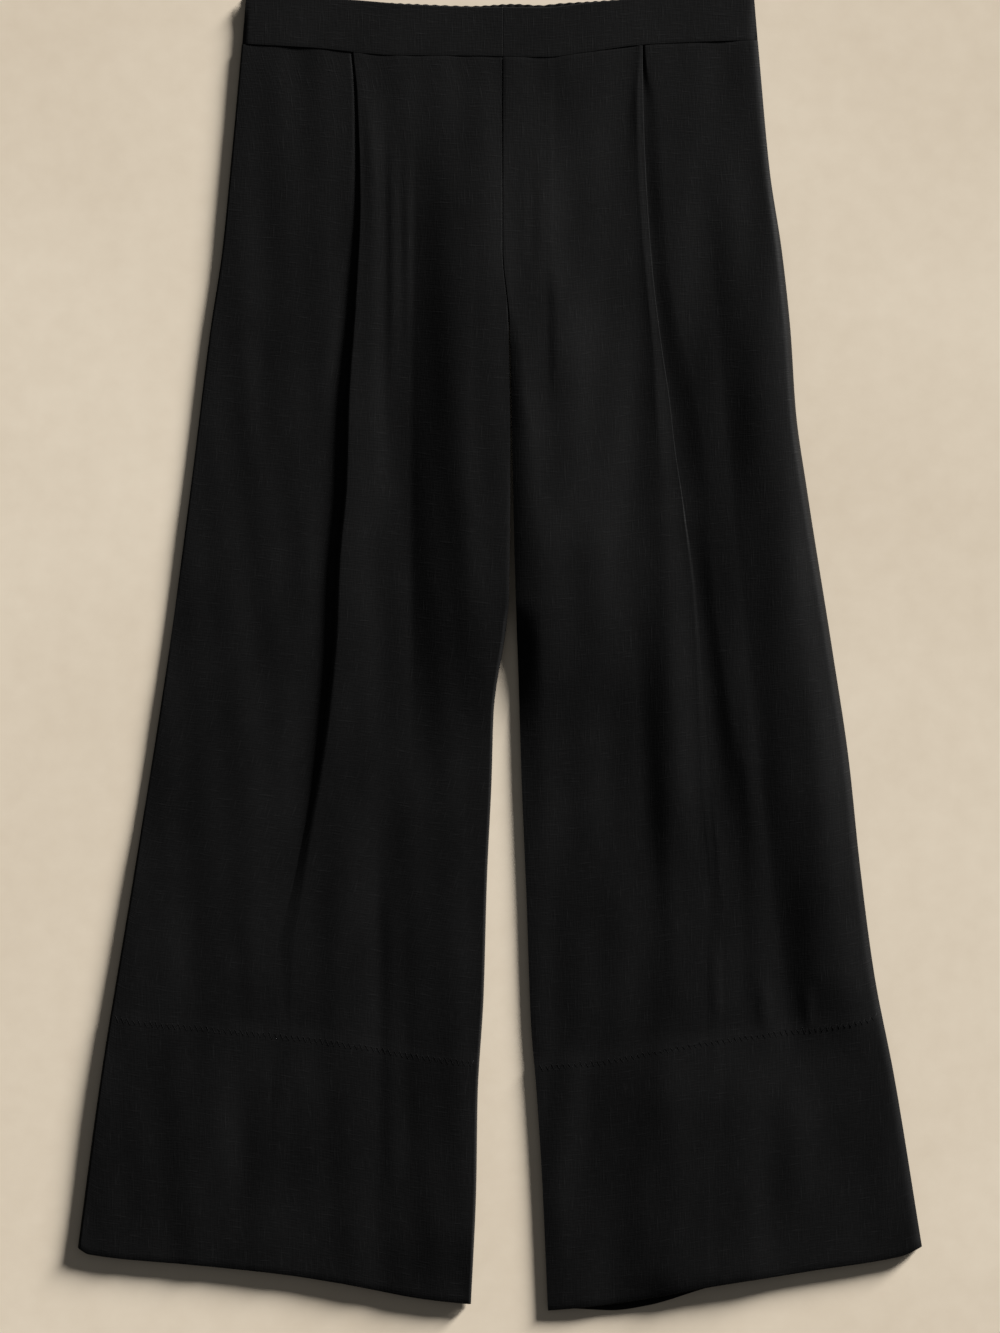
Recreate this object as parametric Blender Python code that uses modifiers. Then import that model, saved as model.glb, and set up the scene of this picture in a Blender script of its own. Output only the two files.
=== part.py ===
"""Wide-leg culottes with two pleats and deep turned-up hems, laid flat with the front up.

Each piece of cloth is an open sheet, worked out as rows of points down the garment and given
its thickness by Solidify. The sheets lie on each other: backs, then the hems turned up inside,
then the fronts, whose knife pleats are real folds of three layers.

Left and right are the wearer's. X runs to the wearer's left, Y up to the waist and Z up from
the surface that the back lies on. Sizes in the tables are millimetres.
"""

import math

import bmesh
import bpy
import numpy as np

MM = 0.001

CLOTH = 1.0  # thickness of one layer
BAND_CLOTH = 2.0  # the waistband is folded double
SEAM_GAP = 0.5  # between pieces at the waist seam
FOLD_RADIUS = 0.7  # of a pressed fold, at the middle of the cloth
TURN_UP = 182.0  # depth of the hem folded up inside
LEG_LENGTH = 926.0  # from the waist seam to the hem, down the middle of a leg

# Heights of the middle of the cloth above the surface it lies on
BACK_LEVEL = CLOTH / 2
SEAM_LEVEL = 1.8  # the fronts come down to this at the side and inner leg seams
FLY_UNDER_LEVEL = 2.0  # the right front under the fly
FLY_FACING_LEVEL = 3.4
FLAT_LEVEL = 4.8  # the fronts between their folds
BAND_BACK_LEVEL = BAND_CLOTH / 2
BAND_FRONT_LEVEL = 4.4
BAND_LAP_LEVEL = 6.8  # the left waistband end, on top of the right one
BAND_SIDE_LEVEL = 3.4

FLY_UNDERLAP = 32.0
FLY_FACING_WIDTH = 34.0
FLY_BOTTOM = 262.0
FLY_CURVE = 38.0  # height of the J at the foot of the facing
FLY_CURVE_SHARE = 0.995  # of the width that the J's quarter oval takes before its upright end
FACING_SET_BACK = 1.0  # from the fly's edge
FACING_BELOW_SEAM = 2.0
FLY_END = 235.0  # the underlap ends here
FLY_CLOSED = 195.0  # below this the two fronts meet edge to edge
BAND_SIDE_AT_TOP = 190.0
BAND_SIDE_FALL = 25.0
BAND_SIDE_FROM = 165.0  # from here outwards the front waistband comes down to the back one
BAND_LAP_FALL = 30.0
BAND_LAP_MARGIN = 6.0  # the top waistband end stays up this far past the one under it
WAIST_AT_CENTRE = 446.0  # y of the waist seam at the centre front
SIDE_FALL = 14.0  # the fronts round down to the seams over these widths
INNER_FALL = 12.0
FLY_FALL = 20.0

# Seam lines. Columns: position along the seam (y), sideways place (x)
SIDE_RIGHT = [(-446, -316), (-320, -299), (-160, -273), (0, -248), (120, -232),
              (240, -217), (300, -208), (360, -202), (458, -193)]
SIDE_LEFT = [(-446, 316), (-320, 295.5), (-240, 280), (-160, 269.5), (-80, 261), (0, 249),
             (120, 230), (180, 221.5), (240, 217.5), (300, 211), (360, 202), (458, 193)]
INNER_RIGHT = [(-489, -22), (-400, -18), (-334, -17), (-258, -12.5), (-171, -10), (-96, -6.5),
               (-46, -5), (18, 4.5), (40, 7), (150, 8), (250, 6.5), (300, 2), (458, 2)]
INNER_LEFT = [(-494, 36), (-393, 31.5), (-330, 27.5), (-278, 23.3), (-186, 20), (-96, 16.3),
              (0, 13.3), (40, 11.5), (150, 9), (250, 7), (300, 2.5), (458, 2.5)]

# Lines across the garment. Columns: sideways place (x), position (y)
WAIST_SEAM = [(-193, 455), (-140, 452), (-80, 446.5), (-20, 446), (35, 445), (60, 448),
              (110, 454.5), (193, 458)]
BAND_TOP = [(-190, 492.5), (-116, 488.5), (-64, 484.5), (-8, 482.5), (34, 482.5), (67, 486),
            (100, 489), (190, 494)]
BAND_BACK_TOP = [(-190, 492.5), (-64, 485.5), (-20, 484), (10, 485.5), (30, 484.6), (45, 486),
                 (70, 487.5), (100, 489.5), (190, 494)]
HEM_RIGHT = [(-316, -447), (-308, -451.5), (-224, -460), (-167, -466), (-121, -473),
             (-57, -485), (-22, -489)]
HEM_LEFT = [(36, -494), (84, -489), (162, -475), (232, -464), (300, -453), (316, -446)]
HEM_LEFT_BACK = [(36, -492), (61, -493), (84, -494), (110, -490.5), (162, -475.5), (232, -463),
                 (300, -452), (316, -446)]

# Pleats, from the waist seam down: the top layer runs outwards to `edge`, turns down through
# `turn` degrees round `roll`, runs `run` further and turns back to go on as the side of the
# front. 180 degrees is a pressed fold, and the pleat lets go as the turn dies away. `flank` is
# the width of the slope from the fold's crest down towards the centre.
PLEAT_COLUMNS = ("y", "edge", "roll", "turn", "run", "flank")
PLEAT_RIGHT = [(-300, 156, 3.0, 2, 20, 30), (-180, 149, 3.0, 16, 14, 28),
               (-90, 135, 3.0, 40, 8, 26), (-10, 126, 3.0, 75, 4, 24),
               (60, 122, 2.5, 115, 3, 22), (130, 116, 2.2, 150, 4, 20),
               (240, 111, 1.8, 180, 6, 20), (320, 105, 1.4, 180, 10, 21),
               (400, 106.5, 1.0, 180, 14, 18), (446, 111, 0.7, 180, 16, 12)]
PLEAT_LEFT = [(-160, 152, 3.0, 2, 20, 26), (-60, 150, 3.0, 10, 18, 24),
              (40, 146, 3.0, 32, 10, 22), (110, 140, 2.5, 70, 5, 20),
              (190, 133, 2.2, 120, 3, 18), (250, 120, 2.0, 165, 5, 14),
              (320, 114, 1.5, 180, 10, 12), (400, 109, 1.0, 180, 14, 10),
              (446, 107, 0.7, 180, 16, 8)]
PLEAT_LOW_LEVEL = 2.0  # the side of the front where it runs under the fold
PLEAT_SIDE_RISE = 30.0  # width over which it comes up again beyond the fold
ARC_STEPS = 3

# Ridges in the fronts: crest place (x) at the top and bottom of the ridge (y), height, and the
# widths of its slopes towards -X and +X. Every ridge fades out over `fade` at both ends.
RIDGE_COLUMNS = ("top", "top_x", "bottom", "bottom_x", "height", "slope_minus", "slope_plus", "fade")
RIDGES_RIGHT = [(400, -21, -110, -24, 2.6, 34, 22, 120),
                (-100, -122, -500, -118, 2.4, 32, 28, 120),
                (-80, -34, -500, -34, 1.8, 60, 20, 120)]
RIDGES_LEFT = [(270, 32, -120, 40, 2.2, 24, 18, 90),
               (330, 198, -300, 252, 2.6, 36, 26, 110),
               (0, 146, -320, 144, 2.0, 22, 44, 110),
               (-120, 84, -500, 88, 1.8, 40, 24, 110),
               (-290, 140, -520, 146, 1.4, 44, 50, 70)]

# Places of the rows down a leg, from the waist seam (0) to the hem (1)
ROWS = (0.0, 0.05, 0.10, 0.15, 0.195, 0.23, 0.28, 0.33, 0.39, 0.45, 0.51, 0.57, 0.63, 0.69,
        0.74, 0.775, 0.80, 0.85, 0.90, 0.95, 1.0)
TURN_UP_TOP = 1.0 - TURN_UP / LEG_LENGTH
TURN_UP_PLACES = tuple(np.linspace(1.0, TURN_UP_TOP, 5)[1:])
TURN_UP_RISE_FROM = TURN_UP_TOP - 0.05  # the fronts come up over the turned-up hem from here
TURN_UP_RISE = 0.04
HEM_LAYERS_BELOW = 3  # under a front at its hem: the back, its turn-up and the front's own
HEM_ARC_STEPS = 3
LAP_STEPS = 3
LAP_MARGIN = 3.0  # the split column stays this far from the cut edge where there is no underlap
CENTRE_STEPS = 10
SIDE_STEPS = 7
SIDE_CROWDING = 0.85  # draws the columns beside the pleat closer together
BACK_COLUMNS = 11
BACK_ROWS = 9
FACING_COLUMNS = 7
FACING_ROWS = 5
BAND_ROWS = 3
BAND_BACK_COLUMNS = 25
BAND_RIGHT_COLUMNS = 17
BAND_LEFT_COLUMNS = 15

CLOTH_COLOUR = (0.0085, 0.0085, 0.0088, 1.0)
BAND_COLOUR = (0.0095, 0.0095, 0.0098, 1.0)
FACING_COLOUR = (0.0075, 0.0075, 0.0078, 1.0)
CLOTH_ROUGHNESS = 0.9


def ease(t):
    """0 to 1 with no slope at either end."""
    t = np.clip(t, 0.0, 1.0)
    return t * t * (3.0 - 2.0 * t)


def along(rows, at, column=1):
    """A smooth line through one column of a table against its first column.

    Between rows it is a cubic whose slopes are the mean of the neighbouring ones, limited so
    that it never overshoots a row.
    """
    rows = sorted(rows)
    x = np.array([row[0] for row in rows], float)
    v = np.array([row[column] for row in rows], float)
    step = np.diff(x)
    slope = np.diff(v) / step
    tangent = np.zeros(len(x))
    same_way = slope[:-1] * slope[1:] > 0
    mean = 2.0 * slope[:-1] * slope[1:] / np.where(same_way, slope[:-1] + slope[1:], 1.0)
    tangent[1:-1] = np.where(same_way, mean, 0.0)
    tangent[0], tangent[-1] = slope[0], slope[-1]
    at = np.clip(np.asarray(at, float), x[0], x[-1])
    i = np.clip(np.searchsorted(x, at) - 1, 0, len(step) - 1)
    t = (at - x[i]) / step[i]
    return (v[i] * (1 + 2 * t) * (1 - t) ** 2 + v[i + 1] * t * t * (3 - 2 * t)
            + step[i] * (tangent[i] * t * (1 - t) ** 2 - tangent[i + 1] * t * t * (1 - t)))


def pleat_at(rows, y):
    """The pleat's named sizes at one place down the leg."""
    return {name: float(along(rows, y, PLEAT_COLUMNS.index(name))) for name in PLEAT_COLUMNS[1:]}


def ridge_heights(rows, x, y):
    """Height that the ridges add at the points (x, y)."""
    total = np.zeros_like(x)
    for row in rows:
        ridge = dict(zip(RIDGE_COLUMNS, row))
        run = (ridge["top"] - y) / (ridge["top"] - ridge["bottom"])
        crest = ridge["top_x"] + np.clip(run, 0, 1) * (ridge["bottom_x"] - ridge["top_x"])
        width = np.where(x < crest, ridge["slope_minus"], ridge["slope_plus"])
        ends = ease((ridge["top"] - y) / ridge["fade"]) * ease((y - ridge["bottom"]) / ridge["fade"])
        total += ridge["height"] * ends * ease(1.0 - np.abs(x - crest) / width)
    return total


class Leg:
    """The lines that bound one leg's front or back, seen outwards from the centre.

    `side` is 1 for the wearer's left and -1 for the right, and w is side * x.
    """

    def __init__(self, side, inner, outer, hem, underlap=0.0):
        self.side = side
        self.inner = inner
        self.outer = outer
        self.hem = hem
        self.underlap = underlap

    def centre_line(self, y):
        """Where the centre front, or the inner leg seam below it, lies."""
        return self.side * along(self.inner, y)

    def inner_edge(self, y):
        """The cut edge: the centre line, and past it the underlap of the fly."""
        lap = self.underlap * ease((y - FLY_END) / (FLY_BOTTOM - FLY_END))
        return self.centre_line(y) - lap

    def outer_edge(self, y):
        return self.side * along(self.outer, y)

    def ends(self, b):
        """Inner and outer edge at row b."""
        x_in = self.side * self.inner_edge(WAIST_AT_CENTRE)
        top_in = along(WAIST_SEAM, x_in)
        top_out = along(WAIST_SEAM, self.outer[-1][1])
        bottom_in = self.hem_line(self.inner[0][1])
        bottom_out = self.hem_line(self.outer[0][1])
        return (self.inner_edge(top_in + b * (bottom_in - top_in)),
                self.outer_edge(top_out + b * (bottom_out - top_out)))

    def hem_line(self, x):
        """The fold of the hem at the middle of the cloth, just inside the finished edge."""
        return along(self.hem, x) + FOLD_RADIUS + CLOTH / 2

    def row_y(self, w, b):
        """Row b runs from the curve of the waist seam to the curve of the hem."""
        inner, outer = self.ends(b)
        a = (w - inner) / (outer - inner)
        top_in, top_out = self.ends(0.0)
        bottom_in, bottom_out = self.ends(1.0)
        top = along(WAIST_SEAM, self.side * (top_in + a * (top_out - top_in))) - SEAM_GAP / 2
        bottom = self.hem_line(self.side * (bottom_in + a * (bottom_out - bottom_in)))
        return top + b * (bottom - top)


def over_turn_up(b):
    """0 above the turned-up hem and 1 beside it, at row b."""
    return float(ease((b - TURN_UP_RISE_FROM) / TURN_UP_RISE))


def front_level(leg, ridges, w, y, b):
    """Height of a front away from its pleat: flat, with ridges, rounding down to the seams."""
    in_hem = over_turn_up(b)
    hem_level = BACK_LEVEL + HEM_LAYERS_BELOW * 2 * FOLD_RADIUS
    edge = SEAM_LEVEL + in_hem * (hem_level - SEAM_LEVEL)
    if leg.underlap:
        in_fly = ease((y - FLY_END) / (FLY_BOTTOM - FLY_END))
        centre_edge = edge + in_fly * (FLY_UNDER_LEVEL - edge)
        centre_fall = INNER_FALL + in_fly * (FLY_FALL - INNER_FALL)
    else:
        in_fly = ease((y - FLY_CLOSED) / (FLY_END - FLY_CLOSED))
        centre_edge = edge + in_fly * (FLAT_LEVEL - edge)
        centre_fall = INNER_FALL
    full = FLAT_LEVEL + ridge_heights(ridges, leg.side * w, y)
    inwards = ease((leg.outer_edge(y) - w) / SIDE_FALL)
    outwards = ease((w - leg.centre_line(y)) / centre_fall)
    level = edge + (full - edge) * inwards
    return centre_edge + (level - centre_edge) * outwards


def pleat_section(pleat, low):
    """The fold from the crest's start to the side's start: places w and heights above `low`.

    A round of radius `roll` turns down through `turn`, a straight runs on for `run`, and a
    round of FOLD_RADIUS turns back level.
    """
    turn = math.radians(pleat["turn"])
    roll = pleat["roll"]
    drop = (roll + FOLD_RADIUS) * (1 - math.cos(turn)) + pleat["run"] * math.sin(turn)
    down = np.linspace(0, turn, ARC_STEPS + 1)
    w = pleat["edge"] - roll + roll * np.sin(down)
    z = low + drop - roll * (1 - np.cos(down))
    run_w = w[-1] + pleat["run"] * math.cos(turn)
    run_z = z[-1] - pleat["run"] * math.sin(turn)
    back = np.linspace(turn, 0, ARC_STEPS + 1)
    back_w = run_w + FOLD_RADIUS * (math.sin(turn) - np.sin(back))
    back_z = run_z - FOLD_RADIUS * (np.cos(back) - math.cos(turn))
    return np.concatenate([w, back_w]), np.concatenate([z, back_z])


def centre_columns(leg, inner, fold, b):
    """Columns from the inner edge to the fold, with one on the centre front over the underlap."""
    columns = np.linspace(inner, fold, CENTRE_STEPS + 1)[:-1]
    if not leg.underlap:
        return columns
    y = leg.row_y(inner, b)
    split = leg.centre_line(y) + LAP_MARGIN * (1 - ease((y - FLY_END) / (FLY_BOTTOM - FLY_END)))
    columns = np.linspace(split, fold, CENTRE_STEPS + 1)[:-1]
    return np.concatenate([np.linspace(inner, split, LAP_STEPS + 1)[:-1], columns])


def front_row(leg, pleats, ridges, b):
    """One row of a front, from the inner edge over the pleat to the side seam."""
    inner, outer = leg.ends(b)
    pleat = pleat_at(pleats, leg.row_y((inner + outer) / 2, b))
    low = PLEAT_LOW_LEVEL + over_turn_up(b) * (FLAT_LEVEL - PLEAT_LOW_LEVEL)
    fold_w, fold_z = pleat_section(pleat, low)

    centre_w = centre_columns(leg, inner, fold_w[0], b)
    side_from = max(fold_w[-1], pleat["edge"] + 2 * CLOTH)
    side_w = side_from + (outer - side_from) * np.linspace(0, 1, SIDE_STEPS + 1) ** SIDE_CROWDING
    if side_from - fold_w[-1] < CLOTH:
        side_w = side_w[1:]
        fold_end = fold_w[-1]
        side_w = fold_end + (side_w - side_from) * (outer - fold_end) / (outer - side_from)
        side_w = np.concatenate([[fold_end + (side_w[0] - fold_end) * 0.5], side_w])

    centre_y = leg.row_y(centre_w, b)
    centre_z = front_level(leg, ridges, centre_w, centre_y, b)
    crest = ease(1.0 - (fold_w[0] - centre_w) / pleat["flank"])
    centre_z = centre_z + crest * (fold_z[0] - centre_z)

    side_y = leg.row_y(side_w, b)
    side_z = front_level(leg, ridges, side_w, side_y, b)
    under = 1.0 - ease((side_w - side_from) / PLEAT_SIDE_RISE)
    side_z = side_z + under * (fold_z[-1] - side_z)

    w = np.concatenate([centre_w, fold_w, side_w])
    z = np.concatenate([centre_z, fold_z, side_z])
    return w, leg.row_y(w, b), z


def front_points(leg, pleats, ridges):
    """Rows of a front from the waist seam to the hem, round its fold and up inside."""
    rows = [front_row(leg, pleats, ridges, b) for b in ROWS]
    w, y, z = rows[-1]
    for turn in np.linspace(0, math.pi, HEM_ARC_STEPS + 1)[1:]:
        rows.append((w, y - FOLD_RADIUS * math.sin(turn), z - FOLD_RADIUS * (1 - math.cos(turn))))
    for b in TURN_UP_PLACES:
        w, y, z = front_row(leg, pleats, ridges, b)
        rows.append((w, y, z - 2 * FOLD_RADIUS))
    return grid_points(leg, rows)


def back_points(leg):
    """A back lies flat, with its hem folded up on top of it."""
    def row(b):
        w = np.linspace(*leg.ends(b), BACK_COLUMNS)
        return w, leg.row_y(w, b), np.full(BACK_COLUMNS, BACK_LEVEL)

    rows = [row(b) for b in np.linspace(0, 1, BACK_ROWS)]
    w, y, z = rows[-1]
    for turn in np.linspace(0, math.pi, HEM_ARC_STEPS + 1)[1:]:
        rows.append((w, y - FOLD_RADIUS * math.sin(turn), z + FOLD_RADIUS * (1 - math.cos(turn))))
    for b in TURN_UP_PLACES:
        w, y, z = row(b)
        rows.append((w, y, z + 2 * FOLD_RADIUS))
    return grid_points(leg, rows)


def grid_points(leg, rows):
    """Rows of (w, y, z) as one array of x, y, z in metres."""
    grid = np.array(rows)
    grid[:, 0] *= leg.side
    return grid.transpose(0, 2, 1) * MM


def band_points(top, ends_at_seam, ends_at_top, columns, level):
    """A waistband piece between the waist seam and its top edge, at height level(x)."""
    a = np.linspace(0, 1, columns)
    grid = []
    for b in np.linspace(0, 1, BAND_ROWS):
        start = ends_at_seam[0] + b * (ends_at_top[0] - ends_at_seam[0])
        end = ends_at_seam[1] + b * (ends_at_top[1] - ends_at_seam[1])
        x = start + a * (end - start)
        seam = along(WAIST_SEAM, x) + SEAM_GAP / 2
        grid.append((x, seam + b * (along(top, x) - seam), level(x)))
    return np.array(grid).transpose(0, 2, 1) * MM


def front_band_level(x):
    """Flat, easing down to the back waistband near the sides."""
    at_side = ease((np.abs(x) - BAND_SIDE_FROM) / BAND_SIDE_FALL)
    return BAND_FRONT_LEVEL + at_side * (BAND_SIDE_LEVEL - BAND_FRONT_LEVEL)


def lapped_band_level(x):
    """As the other front half, lifted over its underlap at the centre front."""
    on_top = 1.0 - ease((x - FLY_UNDERLAP - BAND_LAP_MARGIN) / BAND_LAP_FALL)
    return front_band_level(x) + on_top * (BAND_LAP_LEVEL - BAND_FRONT_LEVEL)


def back_band_level(x):
    return np.full_like(x, BAND_BACK_LEVEL)


def facing_points():
    """The fly facing: straight down the centre front, with a quarter oval at its foot."""
    start = INNER_LEFT[-1][1] + FACING_SET_BACK
    a = np.linspace(0, 1, FACING_COLUMNS)
    x = start + a * FLY_FACING_WIDTH
    top = along(WAIST_SEAM, x) - FACING_BELOW_SEAM
    foot = FLY_BOTTOM + FLY_CURVE * (1 - np.sqrt(1 - np.minimum(a, FLY_CURVE_SHARE) ** 2))
    rows = [(x, top + b * (foot - top), np.full_like(x, FLY_FACING_LEVEL))
            for b in np.linspace(0, 1, FACING_ROWS)]
    return np.array(rows).transpose(0, 2, 1) * MM


def finish(name, colour):
    """The piece's own matt black cloth."""
    material = bpy.data.materials.new(name)
    material.use_nodes = True
    shader = material.node_tree.nodes["Principled BSDF"]
    shader.inputs["Base Color"].default_value = colour
    shader.inputs["Roughness"].default_value = CLOTH_ROUGHNESS
    shader.inputs["Metallic"].default_value = 0.0
    return material


def sheet(name, points, thickness, colour, collection):
    """A grid of points as an open sheet of cloth with its thickness on both sides."""
    rows, columns, _ = points.shape
    mesh = bpy.data.meshes.new(name)
    work = bmesh.new()
    verts = [work.verts.new(point) for point in points.reshape(-1, 3)]
    for i in range(rows - 1):
        for j in range(columns - 1):
            corner = i * columns + j
            work.faces.new([verts[corner], verts[corner + 1],
                            verts[corner + columns + 1], verts[corner + columns]])
    work.to_mesh(mesh)
    work.free()
    mesh.materials.append(finish(name, colour))
    piece = bpy.data.objects.new(name, mesh)
    collection.objects.link(piece)
    wall = piece.modifiers.new("cloth", "SOLIDIFY")
    wall.thickness = thickness * MM
    wall.offset = 0.0
    wall.use_quality_normals = True
    return piece


def build():
    for old in list(bpy.data.objects):
        bpy.data.objects.remove(old, do_unlink=True)
    garment = bpy.data.collections.new("culottes")
    bpy.context.scene.collection.children.link(garment)

    front_right = Leg(-1, INNER_RIGHT, SIDE_RIGHT, HEM_RIGHT, FLY_UNDERLAP)
    front_left = Leg(1, INNER_LEFT, SIDE_LEFT, HEM_LEFT)
    back_right = Leg(-1, INNER_RIGHT, SIDE_RIGHT, HEM_RIGHT)
    back_left = Leg(1, INNER_LEFT, SIDE_LEFT, HEM_LEFT_BACK)

    sheet("back_right", back_points(back_right), CLOTH, CLOTH_COLOUR, garment)
    sheet("back_left", back_points(back_left), CLOTH, CLOTH_COLOUR, garment)
    sheet("front_right", front_points(front_right, PLEAT_RIGHT, RIDGES_RIGHT), CLOTH,
          CLOTH_COLOUR, garment)
    sheet("front_left", front_points(front_left, PLEAT_LEFT, RIDGES_LEFT), CLOTH,
          CLOTH_COLOUR, garment)
    sheet("fly_facing", facing_points(), CLOTH, FACING_COLOUR, garment)

    side = SIDE_LEFT[-1][1]
    start = INNER_LEFT[-1][1]
    lap_end = start + FLY_UNDERLAP
    sheet("waistband_back",
          band_points(BAND_BACK_TOP, (-side, side), (-BAND_SIDE_AT_TOP, BAND_SIDE_AT_TOP),
                      BAND_BACK_COLUMNS, back_band_level), BAND_CLOTH, BAND_COLOUR, garment)
    sheet("waistband_front_right",
          band_points(BAND_TOP, (-side, lap_end), (-BAND_SIDE_AT_TOP, lap_end),
                      BAND_RIGHT_COLUMNS, front_band_level), BAND_CLOTH, BAND_COLOUR, garment)
    sheet("waistband_front_left",
          band_points(BAND_TOP, (start, side), (start, BAND_SIDE_AT_TOP),
                      BAND_LEFT_COLUMNS, lapped_band_level), BAND_CLOTH, BAND_COLOUR, garment)


build()
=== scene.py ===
import math

import bpy
import numpy as np
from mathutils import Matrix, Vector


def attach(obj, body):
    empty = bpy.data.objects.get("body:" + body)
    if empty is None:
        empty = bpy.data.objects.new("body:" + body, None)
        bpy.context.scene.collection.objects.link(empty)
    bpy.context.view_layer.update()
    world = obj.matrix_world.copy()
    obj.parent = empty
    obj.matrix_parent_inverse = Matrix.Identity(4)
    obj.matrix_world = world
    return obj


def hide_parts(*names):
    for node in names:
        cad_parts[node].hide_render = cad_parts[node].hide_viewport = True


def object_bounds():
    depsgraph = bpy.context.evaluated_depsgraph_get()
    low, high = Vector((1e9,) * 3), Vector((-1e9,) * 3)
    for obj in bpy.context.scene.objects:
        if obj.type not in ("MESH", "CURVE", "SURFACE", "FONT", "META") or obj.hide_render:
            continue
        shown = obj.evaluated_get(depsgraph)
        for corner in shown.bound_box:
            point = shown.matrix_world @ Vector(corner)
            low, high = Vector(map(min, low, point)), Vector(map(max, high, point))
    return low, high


# Culottes laid flat, front up. Every piece of cloth is a thin shell on the form of its solid.
# Left and right are the wearer's. Tables and sizes are in millimetres on the frame's own axes:
# X runs to the wearer's left, Y up to the waist and Z up from the surface under the back.

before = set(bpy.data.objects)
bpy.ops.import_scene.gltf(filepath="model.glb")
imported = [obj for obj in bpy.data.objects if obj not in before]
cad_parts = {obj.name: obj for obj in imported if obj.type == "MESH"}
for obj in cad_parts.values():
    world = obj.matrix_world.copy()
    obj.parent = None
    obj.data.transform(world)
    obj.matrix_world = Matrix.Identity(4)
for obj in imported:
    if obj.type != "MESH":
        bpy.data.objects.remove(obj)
cad_low, cad_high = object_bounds()

MM = 0.001
CLOTH = 0.5  # one layer
FLOOR = cad_low.z / MM

# Heights of the middle of a layer
REST = 0.3  # the backs on the floor
SEAM_BACK = 2.3  # front and back meet between these two at the side and inner leg seams
SEAM_FRONT = 2.9
OVER_FLY = 0.18  # the left front's edge, over its facing and the underlap
UNDER_FLY = 0.9
SEAM_DROP = 0.12  # of the centre front seam above the crotch
WAIST_DROP = 0.1  # of the fronts into the waist seam
TURN_UP_RISE = 0.35  # over the second layer of the hem
FACING_RISE = 0.15  # over the fly facing, which shows as far as this from the centre
FACING_SHOWS_TO = 37.5
FACING_EDGE = 3.0
ABOVE_CROTCH = 36.0  # the length over which the legs join at the centre front
HUMP_FADE = 150.0
SLACK = 0.18  # gentle unevenness of the cloth
BAND_LEVEL = 4.5
BAND_LAP_LEVEL = 4.55  # the left end of the waistband on top of the right one
BAND_UNDER_LEVEL = 3.75
BAND_SIDE_LEVEL = 3.2
BAND_CLOTH = 0.38

SEAM_GAP = 0.3
TURN_UP = 182.0
LEG_LENGTH = 926.0
UNDERLAP = 32.0
DIP = 0.1  # how far outside the fly edge the right front starts to dip
FACING_WIDTH = 34.0
FLY_BOTTOM = 262.0
FLY_CURVE = 38.0
FOLD_RADIUS = 0.42  # of a pressed fold
HEM_RADIUS = 0.45
HEM_RADIUS_AT_SEAM = 0.28
WAIST_AT_CENTRE = 446.0
BAND_HALF = 191.5  # from the centre to the middle of its rounded sides

# Seam lines. Columns: position along the seam (y), sideways place (x)
SIDE_RIGHT = [(-446, -316), (-320, -299), (-160, -273), (0, -248), (120, -232),
              (240, -217), (300, -208), (360, -202), (458, -193)]
SIDE_LEFT = [(-446, 316), (-320, 295.5), (-240, 280), (-160, 269.5), (-80, 261), (0, 249),
             (120, 230), (180, 221.5), (240, 217.5), (300, 211), (360, 202), (458, 193)]
INNER_RIGHT = [(-489, -22), (-400, -18), (-334, -17), (-258, -12.5), (-171, -10), (-96, -6.5),
               (-46, -5), (18, 4.5), (40, 7), (150, 8), (250, 6.5), (300, 2), (458, 2)]
INNER_LEFT = [(-494, 36), (-393, 31.5), (-330, 27.5), (-278, 23.3), (-186, 20), (-96, 16.3),
              (0, 13.3), (40, 11.5), (150, 9), (250, 7), (300, 2.5), (458, 2.5)]

# Lines across the garment. Columns: sideways place (x), position (y)
WAIST_SEAM = [(-193, 455), (-140, 452), (-80, 446.5), (-20, 446), (35, 445), (60, 448),
              (110, 454.5), (193, 458)]
BAND_TOP = [(-190, 492.5), (-116, 488.5), (-64, 484.5), (-8, 482.5), (34, 482.5), (67, 486),
            (100, 489), (190, 494)]
BAND_BACK_TOP = [(-190, 492.5), (-64, 485.5), (-20, 484), (10, 485.5), (30, 484.6), (45, 486),
                 (70, 487.5), (100, 489.5), (190, 494)]
HEM_RIGHT = [(-316, -447), (-308, -451.5), (-224, -460), (-167, -466), (-121, -473),
             (-57, -485), (-22, -489)]
HEM_LEFT = [(36, -494), (84, -489), (162, -475), (232, -464), (300, -453), (316, -446)]
HEM_LEFT_BACK = [(36, -492), (61, -493), (84, -494), (110, -490.5), (162, -475.5), (232, -463),
                 (300, -452), (316, -446)]

# How wide the fronts round down to the centre front seam, and below it to the inner leg seam,
# and to the side seam. Columns: y, width
CENTRE_FALL_RIGHT = [(458, 0.8), (262, 0.8), (250, 1), (215, 2), (60, 3), (0, 2), (-60, 1.6), (-489, 1.6)]
CENTRE_FALL_LEFT = [(458, 2), (262, 5), (249, 7), (226, 9), (189, 11), (151, 18), (114, 17),
                    (76, 21), (39, 20), (-60, 18), (-494, 15)]
SIDE_FALL_RIGHT = [(458, 0.8), (-447, 0.8)]
SIDE_FALL_LEFT = [(458, 7), (200, 7), (-200, 7), (-447, 8)]

# Heights of the fronts between their folds, in the centre and beyond the pleat, where the right
# one lies thin on its back. Columns: y, height
FLAT_LEVEL = [(458, 4.2), (400, 4.6), (330, 5.0), (-494, 5.0)]
SIDE_LEVEL_RIGHT = [(458, 3.9), (414, 3.95), (376, 4.0), (338, 3.9), (301, 3.6), (264, 3.4),
                    (189, 3.3), (-60, 3.3), (-200, 4.3), (-280, 5.0), (-494, 5.0)]
SIDE_LEVEL_LEFT = [(458, 4.15), (414, 4.5), (338, 5.1), (248, 5.6), (151, 6.2), (39, 6.4), (-160, 5.6),
                   (-300, 5.2), (-494, 5.0)]

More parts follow.
